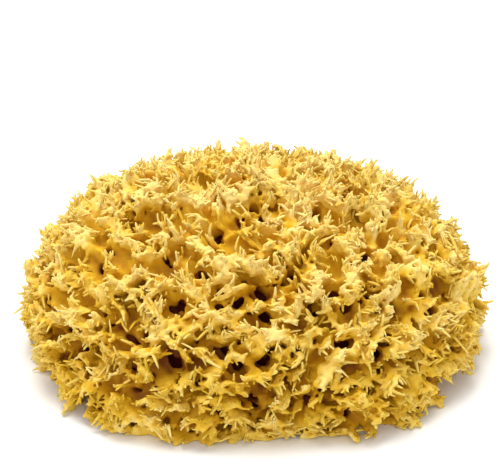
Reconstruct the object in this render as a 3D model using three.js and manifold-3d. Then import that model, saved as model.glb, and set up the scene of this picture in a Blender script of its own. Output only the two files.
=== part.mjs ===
// A natural bath sponge: one grown dome, cut flat where it sat on the rock.
// Its skin is a honeycomb of pits. Ridges part the pits, and a pointed tuft stands where three ridges meet.
// Millimetres, +Z up, front towards -Y. The origin is the middle of the cut face.
import * as THREE from "three";
import { ConvexHull } from "three/addons/math/ConvexHull.js";
import { mergeVertices } from "three/addons/utils/BufferGeometryUtils.js";
import Module from "manifold-3d";

// Driving dimensions of the whole sponge, over the tuft tips.
const WIDTH = 150;
const DEPTH = 130;
const HEIGHT = 62;
const GIRTH_HEIGHT = 11; // the widest level, above the cut face

// Pits: each is as wide as its cell less the wall around it.
const WIDEST_PIT = 7.6;
const NARROWEST_PIT = 3.6;
const PIT_STEP = 0.4; // widths are tried from wide to narrow in these steps
const DARTS_PER_STEP = 6000; // random places tried at each width
const WALL = 1.5; // ridge thickness between neighbouring pits
const CUP_DEPTH = [5, 8];
const OSCULUM_DEPTH = [12, 17]; // an osculum is a deep hole that lets water out
const OSCULUM_SHARE = 0.22;
const FLANK_BELOW_CUT = 8; // pits go on this far below the cut, so that the cut opens some of them

// Tufts and ridges: how far their crests stop short of the tip envelope.
const TUFT_DROP = [0, 3];
const RIDGE_DROP = [4, 7];
const TUFT_LEAN = 1.2; // the most that a tip leans to one side

// Pit section: where the cup's wall turns into its floor.
const FLOOR_REACH = 0.62; // share of the way from the pit's middle to a tuft
const FLOOR_DEPTH = 0.72; // share of the pit's depth

// Canals that the cut laid open on the underside.
const CANALS = 22;
const CANAL_RADIUS = [1.6, 4];
const CANAL_DEPTH = [5, 9];
const CANAL_SIDES = 7;
const CANAL_TAPER = 0.55;
const CANAL_FIELD = 0.8; // share of the cut face, from its middle, that has canals
const BARE_MIDDLE = 7; // radius kept whole around the origin, where the sponge can be glued down

const SEED = 7164;

// The large pits that show at the front: azimuth from the front towards the right and elevation from the
// middle of the girth plane, in degrees, then width and depth.
const FRONT_PITS = [
  [4, 49, 6, 14],
  [-33, 17, 6, 15],
  [-24, 21, 4.5, 13],
  [-34, 9, 5, 14],
  [-14, 36, 6, 14],
  [1, 27, 8, 15],
  [-9, 17, 5.5, 14],
  [3, 14, 5.5, 13],
  [12, 18, 5.5, 13],
  [28, 18, 6, 14],
  [52, 16, 5, 13],
  [18, 36, 6, 14],
  [-45, 72, 5, 12],
  [0, 74, 5, 12],
  [52, 40, 6, 13],
  [-36, 47, 9, 9],
  [-61, 29, 5.5, 12],
  [-20, 6, 5, 12],
  [-95, 34, 8, 6],
  [-54, 43, 7, 6],
  [61, 50, 8, 7],
  [76, 41, 8, 6],
  [66, 32, 6, 8],
  [41, 3, 9, 6],
];

// Swellings of the dome: the direction they face, how far they stand out and the angle that they spread over.
const SWELLINGS = [
  { azimuth: -80, elevation: 42, rise: 5, spread: 30 },
  { azimuth: 85, elevation: 30, rise: 2, spread: 30 },
  { azimuth: -36, elevation: -8, rise: 7, spread: 24 },
  { azimuth: 34, elevation: -8, rise: 5, spread: 22 },
];

const HALF = new THREE.Vector3(WIDTH / 2, DEPTH / 2, HEIGHT - GIRTH_HEIGHT);

// Seeded random numbers from 0 to 1, the same on every run.
function randomSource(seed) {
  let state = seed;
  return () => {
    state = (state + 0x6d2b79f5) | 0;
    let t = Math.imul(state ^ (state >>> 15), 1 | state);
    t = (t + Math.imul(t ^ (t >>> 7), 61 | t)) ^ t;
    return ((t ^ (t >>> 14)) >>> 0) / 4294967296;
  };
}

const random = randomSource(SEED);
const between = ([low, high]) => low + (high - low) * random();

// Unit vector at an azimuth, from the front towards the right, and an elevation.
function facing(azimuth, elevation) {
  const a = THREE.MathUtils.degToRad(azimuth);
  const e = THREE.MathUtils.degToRad(elevation);
  return new THREE.Vector3(Math.cos(e) * Math.sin(a), -Math.cos(e) * Math.cos(a), Math.sin(e));
}

const swellings = SWELLINGS.map((s) => ({
  ...s,
  axis: facing(s.azimuth, s.elevation),
  tightness: 1 / (1 - Math.cos(THREE.MathUtils.degToRad(s.spread))),
}));

// The point of the plain dome in the same direction, from the middle of the girth, as a given point.
const onDome = (point) => point.clone().divide(HALF).normalize().multiply(HALF);

// The point at some depth below the tip envelope, which is the dome with its swellings.
function below(point, depth) {
  const seat = onDome(point);
  const normal = seat.clone().divide(HALF).divide(HALF).normalize();
  const way = seat.clone().normalize();
  let rise = 0;
  for (const swelling of swellings) {
    rise += swelling.rise * Math.exp((way.dot(swelling.axis) - 1) * swelling.tightness);
  }
  return seat.addScaledVector(normal, rise - depth);
}

// Pits scattered over the dome, wide ones first, none nearer to another than a wall.
// One flat cell closes the ball far below the cut.
function scatterPits() {
  const pits = FRONT_PITS.map(([azimuth, elevation, width, depth]) => ({
    seat: onDome(facing(azimuth, elevation)),
    width,
    depth,
  }));
  const clear = (seat, width) =>
    pits.every((pit) => pit.seat.distanceTo(seat) > (pit.width + width) / 2 + WALL);
  for (let width = WIDEST_PIT; width > NARROWEST_PIT; width -= PIT_STEP) {
    for (let dart = 0; dart < DARTS_PER_STEP; dart++) {
      const turn = 2 * Math.PI * random();
      const z = 2 * random() - 1;
      const flat = Math.sqrt(1 - z * z);
      const deep = random() < OSCULUM_SHARE;
      const depth = between(deep ? OSCULUM_DEPTH : CUP_DEPTH);
      const unit = new THREE.Vector3(flat * Math.cos(turn), flat * Math.sin(turn), z);
      const seat = unit.multiply(HALF);
      const onFlank = seat.z > -GIRTH_HEIGHT - FLANK_BELOW_CUT;
      if (onFlank && clear(seat, width)) pits.push({ seat, width, depth });
    }
  }
  const closing = { seat: new THREE.Vector3(0, 0, -HALF.z), width: WIDEST_PIT, depth: 0 };
  return [...pits, closing];
}

// A crest point between pits, nearer to the narrow ones.
function crest(pits, drop, lean) {
  const middle = new THREE.Vector3();
  let weight = 0;
  for (const pit of pits) {
    middle.addScaledVector(pit.seat, 1 / pit.width);
    weight += 1 / pit.width;
  }
  const aside = new THREE.Vector3(random() - 0.5, random() - 0.5, random() - 0.5).multiplyScalar(2 * lean);
  return below(middle.divideScalar(weight), drop).add(aside);
}

// The whole honeycomb as a closed ball: pits, the tufts of each trio of pits and the ridge of each pair.
function honeycomb(pits) {
  const points = [];
  const triangles = [];
  const place = (point) => points.push(point) - 1;
  const hull = new ConvexHull().setFromPoints(pits.map((pit) => pit.seat));
  const pitAt = new Map(pits.map((pit) => [pit.seat, pit]));
  for (const pit of pits) pit.floor = place(below(pit.seat, pit.depth));

  const trios = hull.faces.map((face) => {
    const corners = [0, 1, 2].map((i) => pitAt.get(face.getEdge(i).head().point));
    const tuft = place(crest(corners, between(TUFT_DROP), TUFT_LEAN));
    const tip = below(points[tuft], 0);
    const rings = new Map(
      corners.map((pit) => {
        const toe = pit.seat.clone().lerp(tip, FLOOR_REACH);
        return [pit, place(below(toe, pit.depth * FLOOR_DEPTH))];
      }),
    );
    return { face, tuft, rings };
  });

  const trioOf = new Map(trios.map((trio) => [trio.face, trio]));
  const ridges = new Map();
  for (const trio of trios) {
    for (let i = 0; i < 3; i++) {
      const edge = trio.face.getEdge(i);
      if (!ridges.has(edge)) {
        const pair = [edge.tail(), edge.head()].map((end) => pitAt.get(end.point));
        const ridge = place(crest(pair, between(RIDGE_DROP), 0));
        ridges.set(edge, ridge).set(edge.twin, ridge);
      }
      const pit = pitAt.get(edge.tail().point);
      const other = trioOf.get(edge.twin.face);
      const ridge = ridges.get(edge);
      const here = trio.rings.get(pit);
      const there = other.rings.get(pit);
      triangles.push(pit.floor, there, here, there, other.tuft, ridge);
      triangles.push(there, ridge, here, here, ridge, trio.tuft);
    }
  }
  return new THREE.BufferGeometry().setFromPoints(points).setIndex(triangles);
}

const wasm = await Module();
wasm.setup();

// A closed three.js geometry as a solid that can be cut.
function solid(geometry) {
  geometry.deleteAttribute("normal");
  geometry.deleteAttribute("uv");
  const merged = mergeVertices(geometry);
  const mesh = new wasm.Mesh({
    numProp: 3,
    vertProperties: new Float32Array(merged.attributes.position.array),
    triVerts: new Uint32Array(merged.index.array),
  });
  return new wasm.Manifold(mesh);
}

function geometryOf(body) {
  const mesh = body.getMesh();
  return new THREE.BufferGeometry()
    .setAttribute("position", new THREE.BufferAttribute(mesh.vertProperties, 3))
    .setIndex(new THREE.BufferAttribute(mesh.triVerts, 1));
}

// What the knife took away: all below the cut face.
function belowTheCut() {
  const slab = new THREE.BoxGeometry(2 * WIDTH, 2 * DEPTH, HEIGHT);
  return solid(slab.translate(0, 0, -HEIGHT / 2));
}

// A blunt canal that runs up into the sponge from the cut face.
function canal(x, y) {
  const radius = between(CANAL_RADIUS);
  const depth = between(CANAL_DEPTH);
  const bore = new THREE.CylinderGeometry(radius * CANAL_TAPER, radius, 2 * depth, CANAL_SIDES);
  return solid(bore.rotateX(Math.PI / 2).rotateZ(Math.PI * random()).translate(x, y, 0));
}

// Canals spread over the cut face in a sunflower's order.
function openCanals(body) {
  const goldenAngle = Math.PI * (3 - Math.sqrt(5));
  for (let i = 0; i < CANALS; i++) {
    const share = Math.sqrt((i + 0.5) / CANALS);
    const reach = THREE.MathUtils.lerp(BARE_MIDDLE / HALF.y, CANAL_FIELD, share);
    const angle = i * goldenAngle;
    body = body.subtract(canal(HALF.x * reach * Math.cos(angle), HALF.y * reach * Math.sin(angle)));
  }
  return body;
}

// Sets the box over the tips to the driving size, with the cut face's middle at the origin.
function fitToSize(geometry) {
  geometry.computeBoundingBox();
  const size = geometry.boundingBox.getSize(new THREE.Vector3());
  const middle = geometry.boundingBox.getCenter(new THREE.Vector3());
  geometry.translate(-middle.x, -middle.y, 0);
  return geometry.scale(WIDTH / size.x, DEPTH / size.y, HEIGHT / size.z);
}

function sponge() {
  const ball = honeycomb(scatterPits()).translate(0, 0, GIRTH_HEIGHT);
  const cut = solid(ball).subtract(belowTheCut());
  const material = new THREE.MeshStandardMaterial({ color: 0xd8aa44, roughness: 0.95, metalness: 0 });
  const mesh = new THREE.Mesh(fitToSize(geometryOf(openCanals(cut))), material);
  mesh.name = "sponge";
  return mesh;
}

const part = new THREE.Group();
part.name = "sea_sponge";
part.add(sponge());

export default part;
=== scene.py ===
import math

import bmesh
import bpy
import numpy as np
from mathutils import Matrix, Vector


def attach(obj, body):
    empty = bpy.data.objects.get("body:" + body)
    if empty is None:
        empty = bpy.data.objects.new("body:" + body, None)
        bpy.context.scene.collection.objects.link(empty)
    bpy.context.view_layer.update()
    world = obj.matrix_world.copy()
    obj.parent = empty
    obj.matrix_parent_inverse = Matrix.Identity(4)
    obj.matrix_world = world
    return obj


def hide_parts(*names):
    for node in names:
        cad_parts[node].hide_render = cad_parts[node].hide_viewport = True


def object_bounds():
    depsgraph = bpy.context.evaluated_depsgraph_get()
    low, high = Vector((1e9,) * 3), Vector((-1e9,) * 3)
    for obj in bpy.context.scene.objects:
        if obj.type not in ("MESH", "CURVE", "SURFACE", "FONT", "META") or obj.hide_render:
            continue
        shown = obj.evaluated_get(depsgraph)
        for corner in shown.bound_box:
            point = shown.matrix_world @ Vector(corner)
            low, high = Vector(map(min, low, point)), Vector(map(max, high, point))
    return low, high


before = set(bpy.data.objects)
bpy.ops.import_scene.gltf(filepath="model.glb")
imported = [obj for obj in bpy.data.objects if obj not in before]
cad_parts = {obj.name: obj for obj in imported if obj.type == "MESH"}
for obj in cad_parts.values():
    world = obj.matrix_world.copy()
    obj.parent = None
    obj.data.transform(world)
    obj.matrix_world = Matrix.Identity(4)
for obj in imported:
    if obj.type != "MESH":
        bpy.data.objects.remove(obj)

import openvdb
from mathutils import Vector

cad_low, cad_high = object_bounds()
MM = 0.001
WIDTH, DEPTH, HEIGHT = (cad_high - cad_low) / MM

# Layout of the pits, as in the solid.
SEED = 7164
GIRTH_HEIGHT = 11
HALF = np.array([WIDTH / 2, DEPTH / 2, HEIGHT - GIRTH_HEIGHT])
WIDEST_PIT = 7.6
NARROWEST_PIT = 3.6
PIT_STEP = 0.4
DARTS_PER_STEP = 6000
WALL = 1.5
CUP_DEPTH = (5, 8)
OSCULUM_DEPTH = (12, 17)
OSCULUM_SHARE = 0.22
FLANK_BELOW_CUT = 8

# The large pits that show at the front: azimuth from the front towards the right and elevation, in degrees,
# then width and depth.
FRONT_PITS = [
    (4, 49, 6, 14),
    (-33, 17, 6, 15),
    (-24, 21, 4.5, 13),
    (-34, 9, 5, 14),
    (-14, 36, 6, 14),
    (1, 27, 8, 15),
    (-9, 17, 5.5, 14),
    (3, 14, 5.5, 13),
    (12, 18, 5.5, 13),
    (28, 18, 6, 14),
    (52, 16, 5, 13),
    (18, 36, 6, 14),
    (-45, 72, 5, 12),
    (0, 74, 5, 12),
    (52, 40, 6, 13),
    (-36, 47, 9, 9),
    (-61, 29, 5.5, 12),
    (-20, 6, 5, 12),
    (-95, 34, 8, 6),
    (-54, 43, 7, 6),
    (61, 50, 8, 7),
    (76, 41, 8, 6),
    (66, 32, 6, 8),
    (41, 3, 9, 6),
]

# The skin's walls are thick, so the solid's pits are this much narrower in it.
NARROWING = 0.8

# Small pits that only the skin has, between the others: they are tried from wide to narrow too.
WIDEST_SMALL_PIT = 3.4
NARROWEST_SMALL_PIT = 1.8
SMALL_DARTS_PER_STEP = 6000
SMALL_WALL = 1.3
SMALL_DEPTH = (5.0, 7.5)
SMALL_OSCULUM_SHARE = 0.05

# Swellings of the dome: azimuth, elevation, rise and the angle that they spread over.
SWELLINGS = [
    (-80, 42, 5, 30),
    (85, 30, 2, 30),
    (-36, -8, 7, 24),
    (34, -8, 5, 22),
]

# Crests of the walls between pits: how far below the tip envelope they end at tufts and at saddles.
TUFT_DROP = (4.2, 6.4)
SADDLE_DROP = (6.0, 9.0)
TUFT_LEAN = 0.6
CREST_STEP = 1.2
CREST_SHARPNESS = 1.4
CREST_WOBBLE = 0.5

# Cups: rings as shares of the way in from the crest, with the share of the cup's depth there, then the floor.
CUP_RINGS = [(0.16, 0.22), (0.36, 0.58), (0.58, 0.88), (0.8, 0.98)]
FLOOR_WANDER = 0.18  # share of the width
LEAST_CUP = 2.6  # the least depth below the crests
DEEPER = 1.5  # how much deeper than the solid's pits

# Tubes, which are stalks or fingers, have girths: shares of the length with shares of the width there.
# Flatness is the thin side over the broad side, at the root and at the end.
MIDDLE_BEND = 0.1  # share of its bend that a tube has at its middle

# Stalks on tufts and ridges: how deep they root in the body, how far below the envelope they end, their size.
STALK_ROOT = 2.5
STALK_TOP = (2.8, 4.8)
LEAST_STALK = 2.5
STALK_WIDTH = (2.0, 3.8)
STALK_GIRTHS = ((0.0, 0.8), (0.4, 0.8), (0.85, 1.1), (1.0, 0.8))
STALK_FLATNESS = (0.75, 0.28)
STALK_LEAN = 0.22
STALK_BEND = 0.12
COMB_WAVE, COMB = 14, 0.4  # neighbouring stalks lean together
ARM_PULL = 0.6  # how far the broad side turns to run along a ridge
RIDGE_STALKS = 0.4  # share of the ridges that have a stalk

# Fans of fingers on the stalks: numbers of fingers (the last isn't reached), half their angle, and where they
# start: along the stalk, lower at the fan's sides, and across it as a share of its width.
FAN_FINGERS = (5, 8)
FAN_SPREAD = 0.7
FAN_START = 0.75
FAN_DROOP = 0.3
FAN_SCATTER = 0.12
FAN_BREADTH = 0.48
FAN_TURN = 0.15  # random, in the fan's plane
FAN_TILT = 0.22  # random, out of the fan's plane

# Fingers, their curl and their side prongs. The web joins them for a share of their length.
FINGER_LENGTH = (2.7, 4.9)
FINGER_WIDTH = (1.05, 1.65)
FINGER_GIRTHS = ((0.0, 1.0), (0.45, 0.88), (0.75, 0.6), (1.0, 0.38))
FINGER_FLATNESS = (0.7, 0.95)
WEB_SHARE = 0.78
CURL = 0.35  # random, both ways
CURL_IN = 0.15
CURL_UP = 0.1
PRONG_SHARE = 0.36
PRONG_TURN = 0.8
PRONG_SCATTER = 0.2
PRONG_LENGTH = 0.5  # share of the finger's
PRONG_WIDTH = 0.75  # share of the finger's

# The fine ends of fingers, which the voxels are too coarse for: their rings along the finger, how much fuller
# they are than the finger, and how far above the cut face they end.
TIP_SIDES = 3
TIP_RINGS = (0.4, 0.6, 0.78, 0.93)
TIP_FILL = 1.2
TIP_CLEARANCE = 0.2

# Holes that open between the hands: their radius, how much longer than wide they are, and how deep they start
# and end.
HOLE_SHARE = 0.36  # radius over the pit's width, within the limits of the next line
HOLE_RADIUS = (1.0, 1.9)
HOLE_STRETCH = (1.1, 1.9)
HOLE_WOBBLE = 0.55
HOLE_DEPTH = (4.0, 14.0)
HOLE_LEAN = 0.15
HOLE_TURN = 0.3
HOLE_PAD = 1
HOLE_CLEARANCE = 0.7  # share of the radius that hands keep out of
FINGER_WATCH = 0.7  # where along a finger that is looked at
PIN_HOLES = 500
PIN_RADIUS = (0.6, 1.4)
PIN_DEPTH = (3, 13)
PIN_LEAN = 0.2

# Voxels of the skin: their size, how sharply shapes blend, how much thinner that makes them, how far from a
# tube it still counts, and how many voxels the cups' distances reach.
VOXEL = 0.55
BLEND = 3.6
SHRINK = 0.12
PAD = 1.2
BAND = 6
GRID_MARGIN = 4 * VOXEL
SKIN_TRIANGLES = 630000

# Lumps on the skin, least in the depth. They are added to voxels within a band around the skin.
LUMP_WAVE, LUMP, LUMP_DEPTH = 2.0, 0.3, 11
LEAST_LUMP = 0.2
LUMP_BAND = 1.5

# The share of the tips, in percent, that may stand out of the solid's box at each end.
STRAY_TIPS = 0.05

# Random waves that bend the whole sponge a little: wavelength and amplitude.
WARPS = [(24, 1.3), (11, 0.8), (5, 0.25)]
WAVES_PER_WARP = 9
WAVE_VARIETY = (0.7, 1.4)

# Clumps: hollows between them, shallower towards the top, and how far their upper parts sway together.
CLUMP_WAVE, CLUMP_HOLLOW = 15, 2.6
HOLLOW_START = 0.5
TOP_CALM = 0.7
SWAY_WAVE, SWAY, SWAY_DEPTH = 12, 1.6, 9.0

# The cut face: canals and pores that it laid open, and the walls that they leave.
CANALS = 22
CANAL_RADIUS = (1.4, 3.6)
CANAL_FIELD = 0.85  # share of the face, from its middle
PORES = 420
PORE_RADIUS = (0.6, 1.3)
PORE_FIELD = 0.9
CANAL_STRETCH = (1.0, 1.5)
CANAL_LEAN = 0.3
CANAL_DEPTH = 2  # in radii
CANAL_START = 1  # below the face
CANAL_WALL = 0.7
EDGE_WALL = 1.2
EDGE_CHECKS = 8
GOLDEN_TURN = math.pi * (3 - math.sqrt(5))

# Colour follows depth, darker deeper in as painted shade in the cups and holes, with mottles and patches that
# count as depth too. It is paler towards the top, as painted light from above.
DEEPEST_COLOUR = 15.0
MOTTLE_WAVE, MOTTLE = 4, 1.2
PATCH_WAVE, PATCH = 22, 1.2
# Painted light: how much paler the top is made, as if lit from above.
PAINTED_TOP_LIGHT = 2.3
CUT_TONE = 5.5  # the most depth that counts at the cut face
CUT_FALL = 1.6  # what each millimetre above the face adds to that
TINT_SPREAD = 0.25
TIP_TONE = 0.6
BAKE_EDGE = 0.02

# Fine noise in the material, in lumps to the metre, and the roughness that it varies.
MOTTLE_SCALE, FIBRE_SCALE, NOISE_DETAIL = 900, 2600, 2
LEAST_ROUGHNESS, ROUGHNESS_SPREAD = 0.6, 0.3

rng = np.random.default_rng(SEED)


def random_source(seed):
    """The seeded numbers from 0 to 1 that laid out the solid's pits."""
    mask = 0xFFFFFFFF
    state = seed

    def draw():
        nonlocal state
        state = (state + 0x6D2B79F5) & mask
        mixed = ((state ^ (state >> 15)) * (1 | state)) & mask
        mixed = ((mixed + (mixed ^ (mixed >> 7)) * (61 | mixed)) ^ mixed) & mask
        return (mixed ^ (mixed >> 14)) / (mask + 1)

    return draw


def unit(vectors):
    """Vectors at length 1."""
    return vectors / np.linalg.norm(vectors, axis=-1, keepdims=True)


def facing(azimuth, elevation):
    """Unit vector at an azimuth, from the front towards the right, and an elevation, in degrees."""
    a, e = math.radians(azimuth), math.radians(elevation)
    return np.array([math.cos(e) * math.sin(a), -math.cos(e) * math.cos(a), math.sin(e)])


def on_dome(points):
    """The points of the plain dome in the same directions from the middle of the girth."""
    return unit(points / HALF) * HALF


def normal_at(seats):
    """Outward normals of the plain dome."""
    return unit(seats / HALF**2)


def rise_at(seats):
    """How far the swellings lift the envelope."""
    ways = unit(seats)
    total = np.zeros(len(seats))
    for azimuth, elevation, rise, spread in SWELLINGS:
        tightness = 1 / (1 - math.cos(math.radians(spread)))
        total += rise * np.exp((ways @ facing(azimuth, elevation) - 1) * tightness)
    return total


def below(points, drop):
    """The points at some depth below the tip envelope."""
    seats = on_dome(points)
    return seats + normal_at(seats) * (rise_at(seats) - drop)[:, None]


def depth_of(points):
    """How deep points lie below the tip envelope."""
    seats = on_dome(points)
    gap = np.linalg.norm(seats, axis=1) - np.linalg.norm(points, axis=1)
    return gap * np.sum(unit(seats) * normal_at(seats), axis=1) + rise_at(seats)


def waves(wavelength, amplitude, count):
    """A smooth random displacement of space, as a sum of plane waves."""
    ways = unit(rng.normal(size=(count, 3))) * (2 * math.pi / wavelength)
    ways *= rng.uniform(*WAVE_VARIETY, (count, 1))
    phases = rng.uniform(0, 2 * math.pi, count)
    pushes = unit(rng.normal(size=(count, 3))) * amplitude * math.sqrt(2 / count)
    return lambda points: np.sin(points @ ways.T + phases) @ pushes


warps = [waves(wavelength, amplitude, WAVES_PER_WARP) for wavelength, amplitude in WARPS]
clumps = waves(CLUMP_WAVE, 1, WAVES_PER_WARP)
sway = waves(SWAY_WAVE, SWAY, WAVES_PER_WARP)
comb = waves(COMB_WAVE, COMB, WAVES_PER_WARP)
lumps = waves(LUMP_WAVE, LUMP, WAVES_PER_WARP)
patches = waves(PATCH_WAVE, 1, WAVES_PER_WARP)
mottles = waves(MOTTLE_WAVE, 1, WAVES_PER_WARP)


def shift_at(points, depths):
    """How the waves move points: all a little, and those near the tips more."""
    share = np.clip(1 - depths / SWAY_DEPTH, 0, 1)
    return sum(warp(points) for warp in warps) + sway(points) * share[:, None]


def warped(points):
    """Points moved by the waves."""
    return points + shift_at(points, depth_of(points))


def depth_unwarped(points):
    """How deep moved points lay before the waves moved them."""
    first = points - shift_at(points, depth_of(points))
    return depth_of(points - shift_at(first, depth_of(first)))


def between(limits):
    """A random number between two limits."""
    return rng.uniform(*limits)


# The pits.
class Pits:
    """Seats, widths and depths of pits, which are thrown like darts and kept where there is room."""

    def __init__(self):
        self.random = random_source(SEED)
        self.seats = [on_dome(facing(azimuth, elevation)) for azimuth, elevation, _, _ in FRONT_PITS]
        self.widths = [width for _, _, width, _ in FRONT_PITS]
        self.depths = [depth for _, _, _, depth in FRONT_PITS]

    def add(self, seat, width, depth):
        """Keeps one pit."""
        self.seats.append(seat)
        self.widths.append(width)
        self.depths.append(depth)

    def throw(self, width, darts, wall, cup_depth, osculum_share):
        """Tries pits of one width at random places, in the order that the solid's were tried."""
        random = self.random
        known, reach = np.array(self.seats), np.array(self.widths)
        for _ in range(darts):
            turn = 2 * math.pi * random()
            z = 2 * random() - 1
            flat = math.sqrt(1 - z * z)
            low, high = OSCULUM_DEPTH if random() < osculum_share else cup_depth
            depth = low + (high - low) * random()
            seat = np.array([flat * math.cos(turn), flat * math.sin(turn), z]) * HALF
            if seat[2] <= -GIRTH_HEIGHT - FLANK_BELOW_CUT:
                continue
            if np.all(np.linalg.norm(known - seat, axis=1) > (reach + width) / 2 + wall):
                self.add(seat, width, depth)
                known, reach = np.array(self.seats), np.array(self.widths)


def scatter_pits():
    """The solid's pits, then small ones between them, then a flat cell that closes the ball below the cut."""
    pits = Pits()
    width = WIDEST_PIT
    while width > NARROWEST_PIT:
        pits.throw(width, DARTS_PER_STEP, WALL, CUP_DEPTH, OSCULUM_SHARE)
        width -= PIT_STEP
    pits.widths = [width * NARROWING for width in pits.widths]
    for width in np.arange(WIDEST_SMALL_PIT, NARROWEST_SMALL_PIT, -PIT_STEP):
        pits.throw(width, SMALL_DARTS_PER_STEP, SMALL_WALL, SMALL_DEPTH, SMALL_OSCULUM_SHARE)
    pits.add(np.array([0, 0, -HALF[2]]), WIDEST_PIT, 0)
    return np.array(pits.seats), np.array(pits.widths), np.array(pits.depths)


def trios_of(seats):
    """Trios of neighbouring pits, anticlockwise seen from outside."""
    bm = bmesh.new()
    made = [bm.verts.new(seat) for seat in seats]
    bmesh.ops.convex_hull(bm, input=made)
    bm.verts.index_update()
    trios = []
    for face in bm.faces:
        a, b, c = (vert.index for vert in face.verts)
        outward = np.dot(np.cross(seats[b] - seats[a], seats[c] - seats[a]), seats[a] + seats[b] + seats[c])
        trios.append((a, b, c) if outward > 0 else (a, c, b))
    bm.free()
    return trios


def crest_seat(pits):
    """The place of a crest between pits, nearer to the narrow ones."""
    weights = 1 / pit_widths[list(pits)]
    return on_dome(weights @ pit_seats[list(pits)])


def hollow_at(seats):
    """How far crests lie lower between clumps."""
    calm = 1 - TOP_CALM * np.clip(seats[:, 2] / HALF[2], 0, 1)
    return CLUMP_HOLLOW * calm * np.clip(clumps(seats)[:, 0] + HOLLOW_START, 0, 1)


pit_seats, pit_widths, pit_depths = scatter_pits()
trios = trios_of(pit_seats)
tuft_seats = np.array([crest_seat(trio) for trio in trios])
tuft_seats = on_dome(tuft_seats + rng.uniform(-TUFT_LEAN, TUFT_LEAN, tuft_seats.shape))
tuft_drops = rng.uniform(*TUFT_DROP, len(trios)) + hollow_at(tuft_seats)

# The two tufts at the ends of each ridge. Seen from the first pit, the ridge runs from the first tuft to the
# second.
trio_after, neighbour_of = {}, {}
for index, (a, b, c) in enumerate(trios):
    for one, other in ((a, b), (b, c), (c, a)):
        trio_after[one, other] = index
        neighbour_of[one] = other
ridges = [(a, b) for a, b in trio_after if a < b]
ridge_ends = {(a, b): (trio_after[b, a], trio_after[a, b]) for a, b in ridges}


class Ridge:
    """The crest of the wall between two pits: its points from tuft to tuft, without the tufts."""

    def __init__(self, pair):
        self.ends = ridge_ends[pair]
        first, last = self.ends
        middle = crest_seat(pair)
        start, end = tuft_seats[first], tuft_seats[last]
        steps = 2 * max(1, round(np.linalg.norm(end - start) / CREST_STEP / 2))
        share = np.arange(1, steps) / steps
        seats = (
            np.outer((1 - share) * (1 - 2 * share), start)
            + np.outer(4 * share * (1 - share), middle)
            + np.outer(share * (2 * share - 1), end)
        )
        self.along = unit(end - start)
        across_ridge = unit(np.cross(normal_at(middle), self.along))
        bow = rng.normal(0, CREST_WOBBLE, 2)
        wobble = bow[0] * np.sin(math.pi * share) + bow[1] * np.sin(2 * math.pi * share)
        self.seats = on_dome(seats + np.outer(wobble, across_ridge))
        saddle = max(rng.uniform(*SADDLE_DROP), tuft_drops[first], tuft_drops[last])
        peak = np.where(share < 0.5, tuft_drops[first], tuft_drops[last])
        self.drops = saddle + (peak - saddle) * np.abs(2 * share - 1) ** CREST_SHARPNESS


ridge_of = {pair: Ridge(pair) for pair in ridges}


def neighbours_around(pit):
    """The pits around one pit, anticlockwise seen from outside."""
    found = [neighbour_of[pit]]
    while True:
        trio = trios[trio_after[pit, found[-1]]]
        following = trio[(trio.index(pit) + 2) % 3]
        if following == found[0]:
            return found
        found.append(following)


# The cups as one closed skin, before the hands are blended in.
class CupSkin:
    """Points and triangles of the cups in the making."""

    def __init__(self):
        self.points = []
        self.count = 0
        self.triangles = []

    def add_points(self, points):
        """Takes points in and gives their indices."""
        self.points.append(points)
        self.count += len(points)
        return np.arange(self.count - len(points), self.count)

    def add_band(self, outer, inner):
        """Triangles between two closed loops of as many points, or between a loop and one point."""
        following = np.roll(outer, -1)
        if len(inner) == 1:
            self.triangles.append(np.stack([outer, following, np.full(len(outer), inner[0])], axis=1))
            return
        self.triangles.append(np.stack([outer, following, inner], axis=1))
        self.triangles.append(np.stack([following, np.roll(inner, -1), inner], axis=1))


def build_cups():
    """The skin of all cups, with their crests shared between neighbours."""
    skin = CupSkin()
    tuft_ids = skin.add_points(below(tuft_seats, tuft_drops))
    ridge_ids = {pair: skin.add_points(below(r.seats, r.drops)) for pair, r in ridge_of.items()}
    for pit in range(len(pit_seats)):
        ids, seats, drops = [], [], []
        for other in neighbours_around(pit):
            pair = (min(pit, other), max(pit, other))
            ridge = ridge_of[pair]
            way = 1 if pair[0] == pit else -1
            tuft = ridge.ends[0] if way == 1 else ridge.ends[1]
            ids += [tuft_ids[[tuft]], ridge_ids[pair][::way]]
            seats += [tuft_seats[[tuft]], ridge.seats[::way]]
            drops += [tuft_drops[[tuft]], ridge.drops[::way]]
        add_cup(skin, pit, np.concatenate(ids), np.concatenate(seats), np.concatenate(drops))
    return np.concatenate(skin.points), np.concatenate(skin.triangles)


def add_cup(skin, pit, outer, rim_seats, rim_drops):
    """One cup: rings from its rim down to its floor."""
    wander = rng.uniform(-1, 1, 3) * FLOOR_WANDER * pit_widths[pit]
    middle = on_dome(pit_seats[pit] + wander)
    cup_depth = min(pit_depths[pit], CUP_DEPTH[1]) + DEEPER
    floor_depth = max(cup_depth, rim_drops.mean() + LEAST_CUP)
    for reach, fall in CUP_RINGS:
        seats = rim_seats * (1 - reach) + middle * reach
        drops = rim_drops * (1 - fall) + floor_depth * fall
        inner = skin.add_points(below(seats, drops))
        skin.add_band(outer, inner)
        outer = inner
    skin.add_band(outer, skin.add_points(below(middle[None], np.array([floor_depth]))))


# The hands.
def half_way(root, way, bend, length):
    """The middle of a bent tube."""
    return root + (way * 0.5 + bend * MIDDLE_BEND) * length


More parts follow.
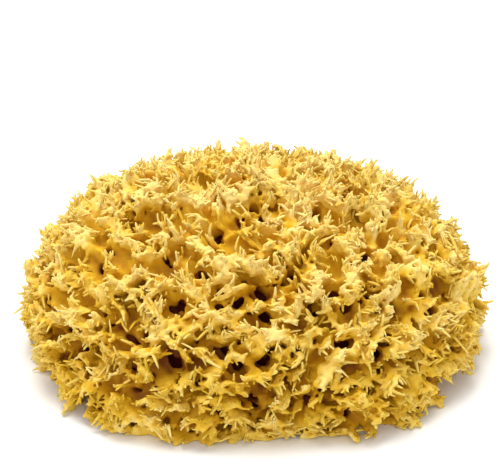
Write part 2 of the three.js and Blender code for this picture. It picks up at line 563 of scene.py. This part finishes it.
class Tubes:
    """Many bent, flattened tubes of one make, blended into the skin for a share of their length."""

    def __init__(self, girths, flatness, blended):
        self.girths, self.flatness, self.blended = np.array(girths), flatness, blended
        self.rows = []

    def add(self, root, way, wide, bend, length, width, hand, limb):
        """One tube: its root, where it points, its broad side, its curl, its size and what it belongs to."""
        middle = half_way(root, way, bend, length)
        tip = root + (way + bend) * length
        self.rows.append((root, middle, tip, wide, width, hand, limb))

    def set_in_place(self):
        """Moves the tubes with the waves."""
        columns = [np.array(column) for column in zip(*self.rows)]
        root, middle, tip = (warped(points) for points in columns[:3])
        wide, self.width, self.hand, self.limb = columns[3:]
        self.root, self.chord = root, tip - root
        self.bow = middle - (root + tip) / 2
        self.along = unit(self.chord)
        self.wide = unit(wide - self.along * np.sum(wide * self.along, axis=1, keepdims=True))
        self.thin = np.cross(self.along, self.wide)

    def keep(self, chosen):
        """Drops all tubes but the chosen ones."""
        for name in ("root", "chord", "bow", "along", "wide", "thin", "width", "hand", "limb"):
            setattr(self, name, getattr(self, name)[chosen])

    def half_at(self, share):
        """Half the broad side at shares of the length, for a width of 1."""
        return np.interp(share, *self.girths.T) / 2

    def flat_at(self, share):
        """The thin side over the broad side."""
        return self.flatness[0] + (self.flatness[1] - self.flatness[0]) * share

    def axis_at(self, share):
        """Points on the axes of all tubes."""
        return self.root + self.chord * share + self.bow * (4 * share * (1 - share))

    def ends(self):
        """The points of the fine ends, a row for each tube: ring after ring, then the very tip."""
        rings, turns = [], 2 * math.pi * np.arange(TIP_SIDES) / TIP_SIDES
        for share in TIP_RINGS:
            half = self.width * self.half_at(share) * TIP_FILL
            slim = half * self.flat_at(share)
            to_broad = self.wide[:, None] * np.cos(turns)[None, :, None] * half[:, None, None]
            to_thin = self.thin[:, None] * np.sin(turns)[None, :, None] * slim[:, None, None]
            rings.append(self.axis_at(share)[:, None] + to_broad + to_thin)
        rings.append(self.axis_at(1.0)[:, None])
        return np.concatenate(rings, axis=1)


def tip_triangles():
    """Triangles of one fine end, closed at its root."""
    sides, rings = TIP_SIDES, len(TIP_RINGS)
    triangles = [(0, j + 1, j) for j in range(1, sides - 1)]
    for ring in range(rings):
        for j in range(sides):
            a, b = ring * sides + j, ring * sides + (j + 1) % sides
            if ring == rings - 1:
                triangles.append((a, b, rings * sides))
            else:
                triangles += [(a, b, b + sides), (a, b + sides, a + sides)]
    return np.array(triangles)


stalks = Tubes(STALK_GIRTHS, STALK_FLATNESS, blended=1.0)
fingers = Tubes(FINGER_GIRTHS, FINGER_FLATNESS, blended=WEB_SHARE)


def across(way, near):
    """The unit vector square to a way that is nearest to another vector."""
    return unit(near - way * np.dot(near, way))


def add_hand(seat, drop, arm):
    """A stalk on a crest, with fingers that fan out from its end."""
    normal = normal_at(seat)
    way = unit(normal + comb(seat[None])[0] + rng.normal(0, STALK_LEAN, 3))
    wide = across(way, arm * ARM_PULL + np.cross((0, 0, 1), normal) * rng.choice([-1, 1]))
    thin = np.cross(way, wide)
    length = max(drop + STALK_ROOT - between(STALK_TOP), LEAST_STALK)
    root = below(seat[None], np.array([drop + STALK_ROOT]))[0]
    bend = wide * rng.normal(0, STALK_BEND) + thin * rng.normal(0, STALK_BEND)
    stalk_width = between(STALK_WIDTH)
    hand = len(stalks.rows)
    stalks.add(root, way, wide, bend, length, stalk_width, hand, hand)
    for place in np.linspace(-1, 1, rng.integers(*FAN_FINGERS)):
        share = FAN_START - FAN_DROOP * place**2 + rng.uniform(-FAN_SCATTER, FAN_SCATTER)
        start = root + (way * share + bend * share**2) * length + wide * place * stalk_width * FAN_BREADTH
        angle = place * FAN_SPREAD + rng.normal(0, FAN_TURN)
        finger_way = unit(way * math.cos(angle) + wide * math.sin(angle) + thin * rng.normal(0, FAN_TILT))
        curl = wide * rng.normal(-CURL_IN * place, CURL) + thin * rng.normal(0, CURL)
        curl = curl + normal * CURL_UP * abs(place)
        add_finger(start, finger_way, across(finger_way, wide), curl, hand)


def add_finger(start, way, wide, curl, hand):
    """A finger, with a side prong on some."""
    length, width = between(FINGER_LENGTH), between(FINGER_WIDTH)
    limb = len(fingers.rows)
    fingers.add(start, way, wide, curl, length, width, hand, limb)
    if rng.random() < PRONG_SHARE:
        middle = half_way(start, way, curl, length)
        side = rng.choice([-PRONG_TURN, PRONG_TURN])
        prong_way = unit(way + wide * side + rng.normal(0, PRONG_SCATTER, 3))
        prong_wide = across(prong_way, wide)
        prong_length, prong_width = length * PRONG_LENGTH, width * PRONG_WIDTH
        fingers.add(middle, prong_way, prong_wide, curl, prong_length, prong_width, hand, limb)


def plant_hands():
    """Hands on all tufts and on some ridges."""
    arms = {}
    for ridge in ridge_of.values():
        for tuft, end in zip(ridge.ends, (ridge.seats[0], ridge.seats[-1])):
            arms.setdefault(tuft, []).append(end)
    for tuft, ends in arms.items():
        end = ends[rng.integers(len(ends))]
        add_hand(tuft_seats[tuft], tuft_drops[tuft], unit(end - tuft_seats[tuft]))
    for ridge in ridge_of.values():
        if rng.random() < RIDGE_STALKS:
            middle = len(ridge.seats) // 2
            add_hand(ridge.seats[middle], ridge.drops[middle], ridge.along)


# The grid of voxels. Distances in it are positive outside the sponge.
def thinned(points, squares):
    """Points and triangles of a skin of squares, with fewer triangles where it is smooth."""
    mesh = bpy.data.meshes.new("thinned")
    mesh.vertices.add(len(points))
    mesh.vertices.foreach_set("co", points.astype(np.float32).ravel())
    mesh.loops.add(squares.size)
    mesh.loops.foreach_set("vertex_index", squares.astype(np.int32).ravel())
    mesh.polygons.add(len(squares))
    mesh.polygons.foreach_set("loop_start", np.arange(len(squares), dtype=np.int32) * 4)
    mesh.update(calc_edges=True)
    holder = bpy.data.objects.new("thinned", mesh)
    bpy.context.scene.collection.objects.link(holder)
    thinner = holder.modifiers.new("thinner", "DECIMATE")
    thinner.ratio = min(1, SKIN_TRIANGLES / (2 * len(squares)))
    thinner.use_collapse_triangulate = True
    result = holder.evaluated_get(bpy.context.evaluated_depsgraph_get()).to_mesh()
    result.calc_loop_triangles()
    thin_points = np.empty(len(result.vertices) * 3, np.float32)
    result.vertices.foreach_get("co", thin_points)
    triangles = np.empty(len(result.loop_triangles) * 3, np.int32)
    result.loop_triangles.foreach_get("vertices", triangles)
    bpy.data.objects.remove(holder)
    bpy.data.meshes.remove(mesh)
    return thin_points.reshape(-1, 3).astype(float), triangles.reshape(-1, 3)


def parts_of(count, faces):
    """A label for each of the points, the same for all points of a connected part."""
    label = np.arange(count)
    while True:
        before = label.copy()
        lowest = label[faces].min(axis=1)
        for column in faces.T:
            np.minimum.at(label, column, lowest)
        label = label[label]
        if np.array_equal(label, before):
            return label


class Grid:
    """A box of voxels with the sponge in it."""

    def __init__(self, low, high):
        self.first = np.floor(np.asarray(low) / VOXEL).astype(int)
        self.shape = np.ceil(np.asarray(high) / VOXEL).astype(int) - self.first
        self.values = None

    def window(self, low, high):
        """The slices of a box, and the places of its voxels along x, y and z."""
        start = np.clip(np.floor(low / VOXEL).astype(int) - self.first, 0, self.shape)
        stop = np.clip(np.ceil(high / VOXEL).astype(int) + 1 - self.first, start, self.shape)
        slices = tuple(slice(a, b) for a, b in zip(start, stop))
        lines = [(np.arange(a, b) + f) * VOXEL for a, b, f in zip(start, stop, self.first)]
        return slices, np.ix_(*lines)

    def blend(self, points, triangles, all_tubes):
        """Fills the grid with a closed skin and blends tubes into it."""
        level_set = openvdb.FloatGrid.createLevelSetFromPolygons(
            points.astype(np.float32),
            triangles=triangles.astype(np.uint32),
            transform=openvdb.createLinearTransform(VOXEL),
            halfWidth=BAND,
        )
        values = np.empty(self.shape, np.float32)
        level_set.copyToArray(values, ijk=tuple(int(i) for i in self.first))
        total = np.exp(-BLEND * values)
        for tubes in all_tubes:
            for index in range(len(tubes.width)):
                self.add_tube(total, tubes, index)
        self.values = SHRINK - np.log(total) / BLEND

    def add_tube(self, total, tubes, index):
        """Adds one tube's share to the blend."""
        root, chord, bow = tubes.root[index], tubes.chord[index], tubes.bow[index]
        along, wide, thin = tubes.along[index], tubes.wide[index], tubes.thin[index]
        reach = tubes.width[index] / 2 + PAD
        marks = np.array([root, root + chord * tubes.blended / 2 + bow, root + chord * tubes.blended + bow])
        slices, (x, y, z) = self.window(marks.min(axis=0) - reach, marks.max(axis=0) + reach)
        x, y, z = x - root[0], y - root[1], z - root[2]
        share = (x * along[0] + y * along[1] + z * along[2]) / np.linalg.norm(chord)
        share = np.clip(share, 0, tubes.blended)
        arch = 4 * share * (1 - share)
        x = x - chord[0] * share - bow[0] * arch
        y = y - chord[1] * share - bow[1] * arch
        z = z - chord[2] * share - bow[2] * arch
        half = tubes.width[index] * tubes.half_at(share)
        slim = half * tubes.flat_at(share)
        u = (x * wide[0] + y * wide[1] + z * wide[2]) / half
        v = (x * thin[0] + y * thin[1] + z * thin[2]) / slim
        w = (x * along[0] + y * along[1] + z * along[2]) / half
        total[slices] += np.exp(-BLEND * (np.sqrt(u * u + v * v + w * w) - 1) * slim)

    def cut_hole(self, start, end, radius, wide, stretch):
        """Cuts an oval hole between two points, with an edge that the mottles' waves make ragged."""
        reach = radius * stretch * (1 + HOLE_WOBBLE) + HOLE_PAD
        low, high = np.minimum(start, end) - reach, np.maximum(start, end) + reach
        slices, (x, y, z) = self.window(low, high)
        wobble = mottles(np.stack(np.broadcast_arrays(x, y, z), axis=-1))[..., 0]
        way = end - start
        x, y, z = x - start[0], y - start[1], z - start[2]
        share = np.clip((x * way[0] + y * way[1] + z * way[2]) / np.dot(way, way), 0, 1)
        x, y, z = x - way[0] * share, y - way[1] * share, z - way[2] * share
        broad = x * wide[0] + y * wide[1] + z * wide[2]
        gap = np.sqrt(np.maximum(x * x + y * y + z * z - broad**2 * (1 - stretch**-2), 0))
        ragged = radius * (1 + HOLE_WOBBLE * wobble)
        self.values[slices] = np.maximum(self.values[slices], ragged - gap)

    def add_lumps(self):
        """Roughens the skin a little."""
        near = np.nonzero(np.abs(self.values) < LUMP_BAND)
        places = (np.stack(near, axis=1) + self.first) * VOXEL
        share = np.clip(1 - depth_of(places) / LUMP_DEPTH, LEAST_LUMP, 1)
        self.values[near] += lumps(places)[:, 0] * share

    def cut_flat(self):
        """Cuts everything off below the cut face."""
        z = (np.arange(self.shape[2]) + self.first[2]) * VOXEL
        self.values = np.maximum(self.values, (-GIRTH_HEIGHT - z).astype(np.float32))

    def inside(self, points):
        """Whether points lie inside the sponge."""
        index = np.round(points / VOXEL).astype(int) - self.first
        index = np.clip(index, 0, self.shape - 1)
        return self.values[tuple(index.T)] < 0

    def skin(self):
        """Points and triangles of the sponge's skin, facing out, and the boxes of bits that float by it."""
        grid = openvdb.FloatGrid(BAND * VOXEL)
        grid.copyFromArray(self.values, ijk=tuple(int(i) for i in self.first))
        grid.transform = openvdb.createLinearTransform(VOXEL)
        points, _, squares = grid.convertToPolygons(0.0, 0.0)
        points, faces = thinned(points, squares)
        points[:, 2] = np.maximum(points[:, 2], -GIRTH_HEIGHT)
        corners = points[faces]
        volumes = np.sum(corners[:, 0] * np.cross(corners[:, 1], corners[:, 2]), axis=1)
        if volumes.sum() < 0:
            faces, volumes = faces[:, ::-1], -volumes
        label = parts_of(len(points), faces)
        owner = label[faces[:, 0]]
        main = np.bincount(label).argmax()
        part_volumes = np.bincount(owner, volumes, len(points))
        boxes = [
            (points[label == part].min(axis=0), points[label == part].max(axis=0))
            for part in np.nonzero(part_volumes > 0)[0]
            if part != main
        ]
        return points, faces[owner == main], boxes


class Holes:
    """Oval holes that lead down from seats on the dome."""

    def __init__(self, seats, radii, depths, lean):
        start = below(seats, np.full(len(seats), depths[0]))
        drift = rng.normal(0, lean, seats.shape) * (depths[1] - depths[0])
        end = below(on_dome(seats + drift), np.full(len(seats), depths[1]))
        mouth = below(seats, np.zeros(len(seats)))
        self.mouth, self.start, self.end = warped(mouth), warped(start), warped(end)
        self.radius = radii
        self.stretch = rng.uniform(*HOLE_STRETCH, len(seats))
        self.wide = unit(np.cross(normal_at(seats), (0, 0, 1)) + rng.normal(0, HOLE_TURN, seats.shape))

    def cut(self, grid):
        """Cuts the holes into the sponge."""
        for row in zip(self.start, self.end, self.radius, self.wide, self.stretch):
            grid.cut_hole(*row)

    def clear(self, points):
        """Whether points keep out of the holes and of the space in front of them."""
        free = np.ones(len(points), bool)
        for mouth, end, radius in zip(self.mouth, self.end, self.radius):
            way = end - mouth
            share = np.clip((points - mouth) @ way / np.dot(way, way), 0, 1)
            gaps = np.linalg.norm(points - mouth - share[:, None] * way, axis=1)
            free &= gaps > radius * HOLE_CLEARANCE
        return free


def deep_holes():
    """The holes at the bottom of the deep pits."""
    deep = pit_depths >= OSCULUM_DEPTH[0]
    radii = np.clip(pit_widths[deep] * HOLE_SHARE, *HOLE_RADIUS)
    return Holes(pit_seats[deep], radii, HOLE_DEPTH, HOLE_LEAN)


def pin_holes():
    """Pin holes all over."""
    ways = unit(rng.normal(size=(PIN_HOLES, 3)))
    return Holes(on_dome(ways), rng.uniform(*PIN_RADIUS, PIN_HOLES), PIN_DEPTH, PIN_LEAN)


def edge_is_clear(grid, x, y, radius):
    """Whether a wall is left all round a canal on the cut face."""
    turns = np.linspace(0, 2 * math.pi, EDGE_CHECKS, endpoint=False)
    reach = radius + EDGE_WALL
    level = np.full(EDGE_CHECKS, VOXEL - GIRTH_HEIGHT)
    return grid.inside(np.stack([x + reach * np.cos(turns), y + reach * np.sin(turns), level], axis=1)).all()


def cut_canals(grid):
    """Blunt canals and pores up from the cut face, clear of its edge and of each other."""
    taken = []
    for i in range(CANALS + PORES):
        if i < CANALS:
            radius = between(CANAL_RADIUS)
            share, turn = math.sqrt((i + 0.5) / CANALS) * CANAL_FIELD, i * GOLDEN_TURN
        else:
            radius = between(PORE_RADIUS)
            share, turn = math.sqrt(rng.random()) * PORE_FIELD, rng.uniform(0, 2 * math.pi)
        x, y = WIDTH / 2 * share * math.cos(turn), DEPTH / 2 * share * math.sin(turn)
        apart = all(math.hypot(x - u, y - v) >= radius + r + CANAL_WALL for u, v, r in taken)
        if not apart or not edge_is_clear(grid, x, y, radius):
            continue
        taken.append((x, y, radius))
        lean = rng.normal(0, CANAL_LEAN, 2) * radius
        start = np.array([x, y, -GIRTH_HEIGHT - CANAL_START])
        end = np.array([x + lean[0], y + lean[1], -GIRTH_HEIGHT + radius * CANAL_DEPTH])
        heading = rng.uniform(0, math.pi)
        wide = np.array([math.cos(heading), math.sin(heading), 0])
        grid.cut_hole(start, end, radius, wide, between(CANAL_STRETCH))


# Meshes in the frame.
class Fit:
    """Sets the sponge into the frame: cut face at the bottom, and all but a few tips in the solid's box."""

    def __init__(self, cloud):
        low, high = np.percentile(cloud, (STRAY_TIPS, 100 - STRAY_TIPS), axis=0)
        self.middle = np.append((low + high)[:2] / 2, -GIRTH_HEIGHT)
        reach = np.append((high - low)[:2], high[2] + GIRTH_HEIGHT)
        self.scale = np.array([WIDTH, DEPTH, HEIGHT]) / reach

    def __call__(self, points):
        return (points - self.middle) * self.scale


class Shape:
    """Points, faces and colour values of one mesh: its level is the depth that sets the colour, darker deeper
    in as painted shade.
    """

    def __init__(self, points, faces, depths, tones):
        self.points, self.faces = points, faces
        patch = patches(points)[:, 0]
        # Painted light: the top is made paler, as if lit from above.
        painted_top_light = PAINTED_TOP_LIGHT * np.clip(points[:, 2] / HALF[2], 0, 1)
        depths = np.minimum(depths, CUT_TONE + CUT_FALL * (points[:, 2] + GIRTH_HEIGHT))
        # The level darkens with depth, which paints the shade of the cups and holes.
        self.levels = (depths + MOTTLE * mottles(points)[:, 0] + PATCH * patch - painted_top_light) / DEEPEST_COLOUR
        self.tints = np.clip(0.5 + TINT_SPREAD * patch + TINT_SPREAD * tones, 0, 1)

    def normals(self):
        """Smooth normals, one for each point."""
        corners = self.points[self.faces]
        facing_out = np.cross(corners[:, 1] - corners[:, 0], corners[:, 2] - corners[:, 0])
        total = np.zeros_like(self.points)
        for column in self.faces.T:
            for axis in range(3):
                total[:, axis] += np.bincount(column, facing_out[:, axis], len(total))
        return unit(total + 1e-12)


def add_piece(name, shape, chosen, normals=None):
    """Makes a piece of the chosen faces, which stands for the solid and rides with it."""
    used, faces = np.unique(shape.faces[chosen], return_inverse=True)
    faces = faces.reshape(-1, shape.faces.shape[1])
    mesh = bpy.data.meshes.new(name)
    mesh.from_pydata((fit(shape.points[used]) * MM).tolist(), [], faces.tolist())
    mesh.shade_smooth()
    levels, tints = shape.levels[used], shape.tints[used]
    for key, numbers in (("level", levels), ("tint", tints)):
        mesh.attributes.new(key, "FLOAT", "POINT").data.foreach_set("value", numbers.astype(np.float32))
    # The colour depends on tint and level alone, so they are the places on the map that it is baked to.
    places = BAKE_EDGE + (1 - 2 * BAKE_EDGE) * np.stack([tints, np.clip(levels, 0, 1)], axis=1)
    places = places[faces.ravel()].astype(np.float32)
    mesh.uv_layers.new(name="OFBake").data.foreach_set("uv", places.ravel())
    if normals is not None:
        mesh.normals_split_custom_set_from_vertices(unit(normals[used] / fit.scale).tolist())
    piece = bpy.data.objects.new(name, mesh)
    bpy.context.scene.collection.objects.link(piece)
    mesh.materials.append(material)
    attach(piece, "root")
    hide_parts("sponge")


# Looks.
def linear(red, green, blue):
    """A colour given as 0 to 255 on a screen, as Blender's linear values."""
    screen = np.array([red, green, blue]) / 255
    values = np.where(screen <= 0.04045, screen / 12.92, ((screen + 0.055) / 1.055) ** 2.4)
    return (*values.tolist(), 1.0)


class Nodes:
    """Short ways to add and join shader nodes."""

    def __init__(self, tree):
        self.tree = tree
        tree.nodes.clear()

    def add(self, kind, **settings):
        """A node with its settings."""
        node = self.tree.nodes.new(kind)
        for key, value in settings.items():
            setattr(node, key, value)
        return node

    def join(self, source, target):
        """A link from one socket to another."""
        self.tree.links.new(source, target)

    def noise(self, scale, detail, place):
        """Noise in object space; scale is in lumps to the metre."""
        node = self.add("ShaderNodeTexNoise")
        node.inputs["Scale"].default_value = scale
        node.inputs["Detail"].default_value = detail
        self.join(place, node.inputs["Vector"])
        return node.outputs["Fac"]

    def ramp(self, factor, stops):
        """A colour ramp through stops of place and colour."""
        node = self.add("ShaderNodeValToRGB")
        ramp = node.color_ramp
        while len(ramp.elements) < len(stops):
            ramp.elements.new(1.0)
        for element, (place, colour) in zip(ramp.elements, stops):
            element.position = place
            element.color = colour
        self.join(factor, node.inputs["Fac"])
        return node.outputs["Color"]

    def maths(self, operation, first, second):
        """Arithmetic between sockets and numbers."""
        node = self.add("ShaderNodeMath", operation=operation)
        for socket, value in zip(node.inputs, (first, second)):
            if isinstance(value, (int, float)):
                socket.default_value = value
            else:
                self.join(value, socket)
        return node.outputs["Value"]

    def product(self, first, second):
        """The product of two colours."""
        node = self.add("ShaderNodeMix", data_type="RGBA", blend_type="MULTIPLY")
        sockets = {socket.identifier: socket for socket in node.inputs}
        sockets["Factor_Float"].default_value = 1.0
        self.join(first, sockets["A_Color"])
        self.join(second, sockets["B_Color"])
        return next(socket for socket in node.outputs if socket.identifier == "Result_Color")


def sponge_material():
    """Pale tips, golden crests, amber cups and maroon holes, darkened with depth as painted shade, with fine
    fibres.
    """
    material = bpy.data.materials.new("sponge")
    material.use_nodes = True
    nodes = Nodes(material.node_tree)
    place = nodes.add("ShaderNodeTexCoord").outputs["Object"]
    level = nodes.add("ShaderNodeAttribute", attribute_name="level").outputs["Fac"]
    tint = nodes.add("ShaderNodeAttribute", attribute_name="tint").outputs["Fac"]
    mottle = nodes.noise(MOTTLE_SCALE, NOISE_DETAIL, place)
    fibre = nodes.noise(FIBRE_SCALE, NOISE_DETAIL, place)
    # The ramp by level: pale at the envelope, darker with depth as painted shade in the cups and holes.
    colour = nodes.ramp(
        level,
        [
            (0.0, linear(250, 222, 138)),
            (0.13, linear(246, 211, 98)),
            (0.27, linear(238, 196, 54)),
            (0.42, linear(223, 176, 17)),
            (0.57, linear(197, 142, 5)),
            (0.73, linear(140, 77, 4)),
            (0.92, linear(108, 26, 8)),
        ],
    )
    olive = nodes.ramp(tint, [(0.2, linear(255, 255, 255)), (0.8, linear(238, 232, 196))])
    colour = nodes.product(colour, olive)
    shade = nodes.ramp(mottle, [(0.3, linear(244, 240, 232)), (0.7, linear(255, 255, 255))])
    colour = nodes.product(colour, shade)

    bump = nodes.add("ShaderNodeBump")
    bump.inputs["Strength"].default_value = 0.4
    bump.inputs["Distance"].default_value = 0.0002
    nodes.join(nodes.maths("ADD", fibre, mottle), bump.inputs["Height"])

    shader = nodes.add("ShaderNodeBsdfPrincipled")
    nodes.join(colour, shader.inputs["Base Color"])
    rough = nodes.maths("ADD", nodes.maths("MULTIPLY", fibre, ROUGHNESS_SPREAD), LEAST_ROUGHNESS)
    nodes.join(rough, shader.inputs["Roughness"])
    nodes.join(bump.outputs["Normal"], shader.inputs["Normal"])
    shader.inputs["Specular IOR Level"].default_value = 0.3
    shader.inputs["Subsurface Weight"].default_value = 0.25
    shader.inputs["Subsurface Radius"].default_value = (1.0, 0.7, 0.25)
    shader.inputs["Subsurface Scale"].default_value = 0.0016
    out = nodes.add("ShaderNodeOutputMaterial")
    nodes.join(shader.outputs["BSDF"], out.inputs["Surface"])
    return material


def floor_material():
    """A plain pale floor."""
    material = bpy.data.materials.new("floor")
    material.use_nodes = True
    shader = material.node_tree.nodes["Principled BSDF"]
    shader.inputs["Base Color"].default_value = linear(244, 244, 243)
    shader.inputs["Roughness"].default_value = 0.9
    return material


# The pieces.
def grow_hands():
    """Sets stalks and fingers in place, and drops those in front of the deep holes, which it gives back."""
    plant_hands()
    stalks.set_in_place()
    fingers.set_in_place()
    holes = deep_holes()
    stalks.keep(holes.clear(stalks.axis_at(1.0)))
    fingers.keep(np.isin(fingers.hand, stalks.hand))
    in_the_way = fingers.limb[~holes.clear(fingers.axis_at(FINGER_WATCH))]
    fingers.keep(~np.isin(fingers.limb, in_the_way))
    return holes


def grow_grid():
    """The grid with cups, hands, holes and the cut face in it."""
    cup_points, cup_triangles = build_cups()
    cup_points = warped(cup_points)
    holes = grow_hands()
    tops = fingers.root + fingers.chord
    low = np.minimum(cup_points.min(axis=0), tops.min(axis=0)) - GRID_MARGIN
    low[2] = -GIRTH_HEIGHT - GRID_MARGIN
    high = np.maximum(cup_points.max(axis=0), tops.max(axis=0)) + GRID_MARGIN
    grid = Grid(low, high)
    grid.blend(cup_points, cup_triangles, (stalks, fingers))
    holes.cut(grid)
    pin_holes().cut(grid)
    grid.add_lumps()
    grid.cut_flat()
    cut_canals(grid)
    return grid


def grow_tips(grid, loose_boxes):
    """The points of the fine ends, a row for each, that stand on the skin and above the cut face."""
    grown = fingers.axis_at(1.0)[:, 2] > -GIRTH_HEIGHT + TIP_CLEARANCE
    roots = fingers.axis_at(TIP_RINGS[0])
    grown &= grid.inside(roots)
    for low, high in loose_boxes:
        grown &= ~np.all((roots >= low) & (roots <= high), axis=1)
    fingers.keep(grown)
    cloud = fingers.ends()
    return cloud[cloud[:, :, 2].min(axis=1) > -GIRTH_HEIGHT]


grid = grow_grid()
skin_points, skin_faces, loose_boxes = grid.skin()
skin = Shape(skin_points, skin_faces, depth_unwarped(skin_points), np.zeros(len(skin_points)))
skin_normals = skin.normals()
skin_middles = skin_points[skin_faces].mean(axis=1)

tip_cloud = grow_tips(grid, loose_boxes)
tip_count, points_each = tip_cloud.shape[:2]
tip_points = tip_cloud.reshape(-1, 3)
one_tip = tip_triangles()
tip_faces = (one_tip[None] + points_each * np.arange(tip_count)[:, None, None]).reshape(-1, 3)
tip_tones = np.repeat(rng.normal(0, TIP_TONE, tip_count), points_each)
tips = Shape(tip_points, tip_faces, depth_unwarped(tip_points), tip_tones)
tip_roots = tip_cloud[:, 0].repeat(len(one_tip), axis=0)

# A quarter of the skin and a quarter of the tips are a piece each.
fit = Fit(tip_points)
material = sponge_material()
for name, x_side, y_side in (
    ("front_left", -1, -1),
    ("front_right", 1, -1),
    ("back_left", -1, 1),
    ("back_right", 1, 1),
):
    in_skin = np.all(skin_middles[:, :2] * (x_side, y_side) >= 0, axis=1)
    in_tips = np.all(tip_roots[:, :2] * (x_side, y_side) >= 0, axis=1)
    add_piece("skin_" + name, skin, in_skin, skin_normals)
    add_piece("tips_" + name, tips, in_tips)

# The floor.
bpy.ops.mesh.primitive_plane_add(size=6, location=(0, 0, 0))
floor = bpy.context.object
floor.name = "floor"
floor.data.materials.append(floor_material())

# Camera: the photograph's angle. It looks over the sponge, which stands low in the frame.
IMAGE_WIDTH, IMAGE_HEIGHT = 500, 469
SENSOR = 36
CAMERA_ELEVATION = 30
CAMERA_DISTANCE = 0.6
FOCAL_PIXELS = 1836
GIRTH_MIDDLE_PIXEL = (255.5, 308.2)
girth_middle = Vector((0, 0, GIRTH_HEIGHT * MM))
elevation = math.radians(CAMERA_ELEVATION)
camera = bpy.data.objects.new("camera", bpy.data.cameras.new("camera"))
bpy.context.scene.collection.objects.link(camera)
camera.location = girth_middle + CAMERA_DISTANCE * Vector((0, -math.cos(elevation), math.sin(elevation)))
lift = math.atan((GIRTH_MIDDLE_PIXEL[1] - IMAGE_HEIGHT / 2) / FOCAL_PIXELS)
swing = math.atan((GIRTH_MIDDLE_PIXEL[0] - IMAGE_WIDTH / 2) / FOCAL_PIXELS)
camera.rotation_euler = (math.pi / 2 - elevation + lift, 0, swing)
camera.data.sensor_width = SENSOR
camera.data.lens = FOCAL_PIXELS / IMAGE_WIDTH * SENSOR
camera.data.clip_start = 0.01
bpy.context.scene.camera = camera


# Soft studio light.
LIGHT_TARGET = Vector((0, 0, 0.03))


def area_light(name, place, size, power):
    """A square soft box that faces the sponge."""
    lamp = bpy.data.lights.new(name, "AREA")
    lamp.size = size
    lamp.energy = power
    holder = bpy.data.objects.new(name, lamp)
    bpy.context.scene.collection.objects.link(holder)
    holder.location = place
    holder.rotation_euler = (LIGHT_TARGET - holder.location).to_track_quat("-Z", "Y").to_euler()


area_light("key", Vector((-0.1, 0.2, 1.1)), size=0.7, power=12)
area_light("fill", Vector((-0.2, -0.9, 0.6)), size=0.8, power=1.8)
world = bpy.data.worlds.new("studio")
world.use_nodes = True
background = world.node_tree.nodes["Background"]
background.inputs["Color"].default_value = (1, 1, 1, 1)
background.inputs["Strength"].default_value = 0.75
bpy.context.scene.world = world
bpy.context.scene.view_settings.view_transform = "Standard"
